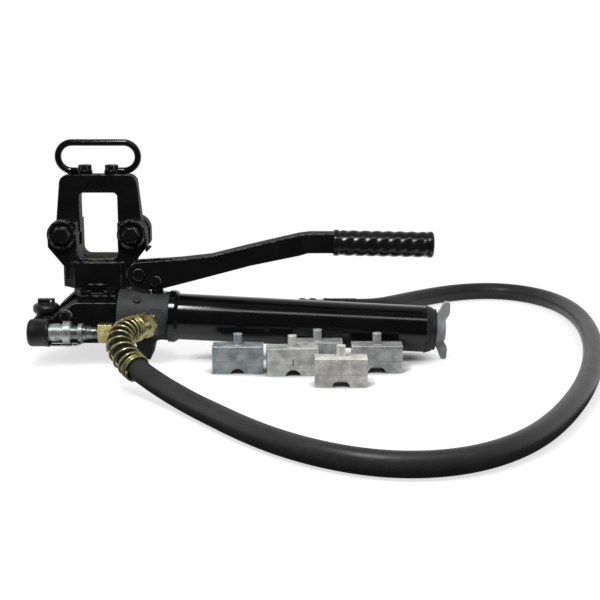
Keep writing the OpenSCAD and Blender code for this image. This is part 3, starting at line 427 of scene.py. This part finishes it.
# pressure hose, from the swivel nut round to its far coupling
hoseSettings = {"thickness": 24.0, "sides": 40, "perPoint": 22, "exit": 23.1, "turn": 30.0,
                "straight": (18, 26.0), "port": (9.0, -37.0, 51.0), "restZ": 12.3,
                "far": (262.0, 222.0, 14.2)}
turn = math.radians(hoseSettings["turn"])
portSpot = np.array(hoseSettings["port"])
farSpot = np.array(hoseSettings["far"])
hoseHeading = np.array([-math.sin(turn), -math.cos(turn), 0.0])
hoseStart = portSpot + hoseSettings["exit"] * hoseHeading
straightOut, straightIn = hoseSettings["straight"]
restZ = hoseSettings["restZ"]
route = np.vstack([
    hoseStart, hoseStart + straightOut * hoseHeading,
    [(-15.5, -95, 50), (-13, -119, 43.5), (-1, -141, 34), (19, -162, 25), (44, -188, 17), (74, -227, 12.8),
     (106, -272, restZ), (144, -326, restZ), (196, -378, restZ), (262, -412, restZ), (334, -402, restZ),
     (398, -346, restZ), (448, -260, restZ), (496, -148, restZ), (534, -20, restZ), (556, 106, restZ),
     (560, 216, restZ), (538, 302, restZ), (484, 350, restZ), (418, 340, restZ), (360, 296, restZ),
     (316, 250, 13.2)],
    farSpot + np.array([straightIn, 0, 0]), farSpot]) * mm
lastPoint = len(route) - 1
hoseLine = routeAt(route, np.linspace(0, lastPoint, hoseSettings["perPoint"] * lastPoint + 1))
hoseAcross, hoseUp = lineFrame(hoseLine)
hoseSkin = tubeGrid(hoseLine, hoseAcross, hoseUp, hoseSettings["thickness"] / 2 * mm, hoseSettings["sides"])
hose = setPiece(gridPiece("pressureHose", hoseSkin), hoseRubber, "base", "hose")

# spring guard: wire wound on the hose line, closer curls at both ends:
# turns(s) = open * s + close * (tanh(s/e) - tanh((1-s)/e) + 1) / 2
guardSettings = {"wire": 3.0, "radius": 14.15, "from": 0.06, "to": 4.59, "openTurns": 9.0,
                 "closeTurns": 4.0, "endShare": 0.075, "steps": 900, "sides": 12}
guardCore = routeAt(route, np.linspace(guardSettings["from"], guardSettings["to"], guardSettings["steps"]))
coreRun = runLength(guardCore)
coreShare = coreRun / coreRun[-1]
endShare = guardSettings["endShare"]
curl = (np.tanh(coreShare / endShare) - np.tanh((1 - coreShare) / endShare) + 1) / 2
turns = guardSettings["openTurns"] * coreShare + guardSettings["closeTurns"] * curl
coreAcross, coreUp = lineFrame(guardCore)
angle = (2 * np.pi * turns)[:, None]
outward = np.cos(angle) * coreAcross + np.sin(angle) * coreUp
wireLine = guardCore + guardSettings["radius"] * mm * outward
wireHeading = unit(np.gradient(wireLine, axis=0))
wireSide = unit(np.cross(wireHeading, outward))
wireSkin = tubeGrid(wireLine, np.cross(wireSide, wireHeading), wireSide, guardSettings["wire"] / 2 * mm,
                    guardSettings["sides"])
setPiece(gridPiece("hoseGuard", wireSkin), guardWire, "base", "spring_guard")
print("guard wound")


# swell of a collar or bead: 1 - (distance from its middle / half its length)^power
def swellAt(offset, halfLength, power):
    return 1 - np.clip(np.abs(offset) / halfLength, 0, 1) ** power


# lever grip: collared sleeve with soft slanting ribs and a bead at its end
# rib = height * (half + half cos(2 pi x / pitch - count * angle))^power
# an end is rounded off by: round * (1 - sqrt(1 - (distance into the rounding / round)^2))
gripSettings = {"start": (223.4, 0.0, 140.55), "droop": 1.2, "length": 118.6, "radius": 14.2,
                "rib": 0.95, "ribPower": 0.8, "pitch": 13.6, "count": 3, "ribGap": (1, 8), "ribFade": 2.5,
                "collar": 7.5, "collarRadius": 15.5, "collarPower": 4, "bead": 8, "beadPower": 3,
                "startRound": 1.5, "endRound": 3.0, "rings": 320, "sides": 160}
droop = math.radians(gripSettings["droop"])
gripAxis = np.array([math.cos(droop), 0, -math.sin(droop)])
gripLength = gripSettings["length"]
gripRun = np.linspace(0, gripLength, gripSettings["rings"])
around = np.linspace(0, 2 * np.pi, gripSettings["sides"], endpoint=False)[None, :]
slant = 2 * np.pi * gripRun[:, None] / gripSettings["pitch"] - gripSettings["count"] * around
ribs = (0.5 + 0.5 * np.cos(slant)) ** gripSettings["ribPower"]
gapStart, gapEnd = gripSettings["ribGap"]
inRibs = (np.clip((gripRun - gripSettings["collar"] - gapStart) / gripSettings["ribFade"], 0, 1)
          * np.clip((gripLength - gapEnd - gripRun) / gripSettings["ribFade"], 0, 1))
halfCollar, halfBead = gripSettings["collar"] / 2, gripSettings["bead"] / 2
swell = np.maximum(swellAt(gripRun - halfCollar, halfCollar, gripSettings["collarPower"]),
                   swellAt(gripRun - gripLength + halfBead, halfBead, gripSettings["beadPower"]))
bodyRadius = gripSettings["radius"] + (gripSettings["collarRadius"] - gripSettings["radius"]) * swell
for into, reach in ((gripRun - gripLength + gripSettings["endRound"], gripSettings["endRound"]),
                    (gripSettings["startRound"] - gripRun, gripSettings["startRound"])):
    bodyRadius = bodyRadius - reach * (1 - np.sqrt(1 - np.clip(into / reach, 0, 1) ** 2))
gripRadius = bodyRadius[:, None] + gripSettings["rib"] * ribs * inRibs[:, None]
gripProfile = np.stack([gripRun, bodyRadius], 1)
gripSkin = turnedGrid(gripSettings["start"], gripAxis, gripProfile, gripSettings["sides"], gripRadius) * mm
setPiece(gridPiece("leverGrip", gripSkin), gripRubber, "lever", "lever_grip")
print("grip moulded")

# dust cap: turned cup with a lip, a rounded rim and a rounded nose
# a corner is a quarter round: (reach * (1 - sin a), reach * (1 - cos a))
capSettings = {"sides": 96, "steps": 10, "rim": 1.4, "nose": 4.5, "wallStep": 0.5, "eye": 0.5,
               "bore": 10.5, "boreMouth": (0.6, 10.8), "boreEnd": (6, 5.5, 10.0),
               "lip": [(3.6, 0.5), (3.2, 0.1), (2.8, 0.0)]}
capLow, capHigh = (np.array(v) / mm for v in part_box("dust_cap"))
capMiddle = (capLow + capHigh) / 2
capRadius = (capHigh[2] - capLow[2]) / 2
capLength = capHigh[0] - capLow[0]
bend = np.linspace(0, np.pi / 2, capSettings["steps"])
corner = np.stack([1 - np.sin(bend), 1 - np.cos(bend)], 1)
capNose = np.array([capLength, capRadius - capSettings["wallStep"]]) - capSettings["nose"] * corner
capLip = np.array([(run, capRadius - fall) for run, fall in capSettings["lip"]])
capRim = np.array([0, capRadius]) + capSettings["rim"] * corner * (1, -1)
mouthRun, mouthRadius = capSettings["boreMouth"]
taperFrom, taperTo, taperRadius = capSettings["boreEnd"]
capInside = np.array([(0.0, mouthRadius), (mouthRun, capSettings["bore"]),
                      (capLength - taperFrom, capSettings["bore"]), (capLength - taperTo, taperRadius),
                      (capLength - taperTo, capSettings["eye"])])
capProfile = np.concatenate([[(capLength, capSettings["eye"])], capNose[::-1], capLip, capRim, capInside])
capStart = (capHigh[0], capMiddle[1], capMiddle[2])
capSkin = turnedGrid(capStart, (-1, 0, 0), capProfile, capSettings["sides"]) * mm
setPiece(gridPiece("dustCap", capSkin), capRubber, "dust_cap", "dust_cap")
print("dust cap turned")

# finishes on the CAD nodes
finishNodes = [
    (blackPaint, ["pump_block", "press_body", "yoke", "left_pin", "right_pin", "ring_bolts", "seat_bolts",
                  "lever", "gallery_plug", "fulcrum_pin", "link_pin"]),
    (glossEnamel, ["carry_ring", "reservoir_tube", "clamp_ring"]),
    (greyCast, ["pump_collar"]),
    (darkCast, ["rear_cap"]),
    (wingCast, ["wing_nut"]),
    (knobPlastic, ["release_knob"]),
    (brightZinc, ["coupler_body", "port_washer"]),
    (sleeveZinc, ["coupler_sleeve", "cap_tether"]),
    (darkZinc, ["bleed_screw", "free_ferrule", "free_coupler", "free_sleeve"]),
    (coolDieSteel, ["die_1"]),
    (slitDieSteel, ["die_2"]),
    (dieSteel, ["die_3", "die_5"]),
    (warmDieSteel, ["die_4"]),
    (paleBrass, ["adaptor", "swivel_nut", "hose_ferrule", "suction_filter"]),
    (oliveZinc, ["ram"]),
    (pinSteel, ["pin_lock_screw", "tie_rod", "plunger", "plunger_gland", "release_gland", "check_ball"]),
    (sealRubber, ["front_seal", "rear_seal", "ram_seal"]),
    (guardWire, ["spring_guard"]),
    (hoseRubber, ["hose"]),
    (gripRubber, ["lever_grip"]),
    (capRubber, ["dust_cap"])]
for finish, names in finishNodes:
    for name in names:
        nodes[name].material_slots[0].material = finish
print("finishes set on", sum(len(names) for _, names in finishNodes), "nodes")

# floor and white surround
floorSettings = {"halfWidth": 14.0, "centre": (-0.2, 0.05, 0.0), "fadeRamp": (0.45, 1.05),
                 "nearWhite": 0.88, "nearMirror": 0.08, "dies": (0.200, -0.065),
                 "diesReach": (0.150, 0.110), "diesFade": 0.035, "diesShade": 0.85,
                 "contactReach": 0.030, "contactSamples": 8, "contactRamp": (0.38, 0.92),
                 "contactLeast": 0.76, "contactShadowGrey": (0.30, 0.30, 0.30), "paper": (0.95, 0.95, 0.95),
                 "bounce": (0.15, 0.15, 0.15), "sweepEdge": (-0.16, -0.06)}
surroundSettings = {"ceiling": 0.30, "ceilingRamp": (0.35, 0.75), "front": 0.06, "frontRamp": (-0.30, 0.20),
                    "ambient": (0.72, 1.15), "ambientRamp": (0.0, 0.9)}
white = (1, 1, 1, 1)
floorMesh = bpy.data.meshes.new("studioFloor")
half = floorSettings["halfWidth"]
floorCorners = [(-half, -half, 0), (half, -half, 0), (half, half, 0), (-half, half, 0)]
floorMesh.from_pydata(floorCorners, [], [(0, 1, 2, 3)])
floor = bpy.data.objects.new("studioFloor", floorMesh)
scene.collection.objects.link(floor)


# three switches: 1 for rays from the camera, 1 for mirrored and refracted rays, 1 for either
def rayShares(tree):
    path = addNode(tree, "ShaderNodeLightPath")
    direct = path.outputs["Is Camera Ray"]
    mirrored = joinValues(tree, "ADD", path.outputs["Is Glossy Ray"], path.outputs["Is Transmission Ray"])
    return direct, mirrored, joinValues(tree, "ADD", direct, mirrored)


floorFinish = bpy.data.materials.new("studioWhite")
floorFinish.use_nodes = True
tree = floorFinish.node_tree
tree.nodes.remove(tree.nodes["Principled BSDF"])
direct, mirrored, seen = rayShares(tree)
place = addNode(tree, "ShaderNodeTexCoord").outputs["Object"]
# the floor is lit by the lamps near the object and fades to plain white away from it
fromCentre = addNode(tree, "ShaderNodeMapping", {"Vector": place, "Location": floorSettings["centre"]})
away = addNode(tree, "ShaderNodeVectorMath", {0: fromCentre.outputs["Vector"]}, operation="LENGTH")
away = away.outputs["Value"]
fade = remap(tree, away, *floorSettings["fadeRamp"], floorSettings["nearWhite"], 1.0)
mirrorFade = remap(tree, away, *floorSettings["fadeRamp"], floorSettings["nearMirror"], 1.0)
# it keeps more of its shadows round the dies: 1 inside |x - middle| < reach and |y - middle| < reach
side = addNode(tree, "ShaderNodeSeparateXYZ", {0: place})
within = []
for axis, middle, reach in zip("XY", floorSettings["dies"], floorSettings["diesReach"]):
    offset = joinValues(tree, "SUBTRACT", side.outputs[axis], middle, free=True)
    offset = addNode(tree, "ShaderNodeMath", {0: offset}, operation="ABSOLUTE").outputs[0]
    within.append(remap(tree, offset, reach, reach - floorSettings["diesFade"], 0, 1))
dieShade = joinValues(tree, "MULTIPLY", *within)
fade = joinValues(tree, "MULTIPLY", fade, remap(tree, dieShade, 0, 1, 1, 1 - floorSettings["diesShade"]))
# close under a piece the floor is darker, most of all round the dies: ambient occlusion paints a contact
# shadow into its colour and lowers its glow
contact = addNode(tree, "ShaderNodeAmbientOcclusion", {"Distance": floorSettings["contactReach"]},
                  samples=floorSettings["contactSamples"])
contact = remap(tree, contact.outputs["AO"], *floorSettings["contactRamp"], 0, 1)
least = remap(tree, dieShade, 0, 1, floorSettings["contactLeast"], 0)
contact = joinValues(tree, "MAXIMUM", contact, least)
fade = joinValues(tree, "MULTIPLY", fade, contact)
# paper white in view and in reflections, with a painted contact shadow in grey, and greyer to the light
# that it throws back
shown = blendColour(tree, contact, floorSettings["contactShadowGrey"], floorSettings["paper"])
floorColour = blendColour(tree, seen, floorSettings["bounce"], shown)
lit = addNode(tree, "ShaderNodeBsdfDiffuse", {"Color": floorColour})
glow = addNode(tree, "ShaderNodeEmission", {"Color": white, "Strength": 1.0})
share = joinValues(tree, "ADD", joinValues(tree, "MULTIPLY", direct, fade),
                   joinValues(tree, "MULTIPLY", mirrored, mirrorFade))
paper = addNode(tree, "ShaderNodeMixShader", {0: share, 1: lit.outputs[0], 2: glow.outputs[0]})
# in reflections the white sweep ends a little way in front of the object
frontEdge = remap(tree, side.outputs["Y"], *floorSettings["sweepEdge"], 1.0, 0.0)
beyond = addNode(tree, "ShaderNodeEmission", {"Color": white, "Strength": surroundSettings["front"]})
sweep = addNode(tree, "ShaderNodeMixShader", {0: joinValues(tree, "MULTIPLY", mirrored, frontEdge),
                                              1: paper.outputs[0], 2: beyond.outputs[0]})
tree.links.new(sweep.outputs[0], tree.nodes["Material Output"].inputs["Surface"])
floorMesh.materials.append(floorFinish)

world = bpy.data.worlds.new("studioWorld")
scene.world = world
world.use_nodes = True
tree = world.node_tree
direct, _, seen = rayShares(tree)
# white behind the object up to well above the horizon, darker overhead and behind the camera
heading = addNode(tree, "ShaderNodeTexCoord").outputs["Generated"]
toward = addNode(tree, "ShaderNodeSeparateXYZ", {0: heading})
overhead = remap(tree, toward.outputs["Z"], *surroundSettings["ceilingRamp"],
                 1.0, surroundSettings["ceiling"])
behind = remap(tree, toward.outputs["Y"], *surroundSettings["frontRamp"],
               surroundSettings["front"], 1.0)
seenLevel = joinValues(tree, "MAXIMUM", joinValues(tree, "MULTIPLY", overhead, behind), direct)
# the light itself comes more from above than from the sides
unseen = joinValues(tree, "SUBTRACT", 1.0, seen)
soft = remap(tree, toward.outputs["Z"], *surroundSettings["ambientRamp"], *surroundSettings["ambient"])
ambient = joinValues(tree, "MULTIPLY", unseen, soft, free=True)
strength = joinValues(tree, "ADD", joinValues(tree, "MULTIPLY", seen, seenLevel), ambient, free=True)
tree.nodes["Background"].inputs["Color"].default_value = white
tree.links.new(strength, tree.nodes["Background"].inputs["Strength"])


# area lamp aimed at a point
def addLamp(name, place, target, size, power):
    data = bpy.data.lights.new(name, "AREA")
    data.shape = "RECTANGLE"
    data.size, data.size_y = size
    data.energy = power
    lamp = bpy.data.objects.new(name, data)
    lamp.location = place
    away = unit(np.array(place, float) - np.array(target, float))
    yaw = math.atan2(away[0], -away[1])
    lamp.rotation_euler = (math.acos(away[2]), 0, yaw)
    scene.collection.objects.link(lamp)


# two softboxes, above and in front of the object
lampSettings = {
    "keySoftbox": {"place": (-0.10, -0.62, 1.09), "target": (0.05, 0, 0.06), "size": (0.20, 0.30),
                   "power": 10.0},
    "fillSoftbox": {"place": (0.47, -0.62, 1.09), "target": (0.3, 0, 0.05), "size": (0.95, 0.16),
                    "power": 2.6}}
for name, lamp in lampSettings.items():
    addLamp(name, **lamp)
print("stage lit")
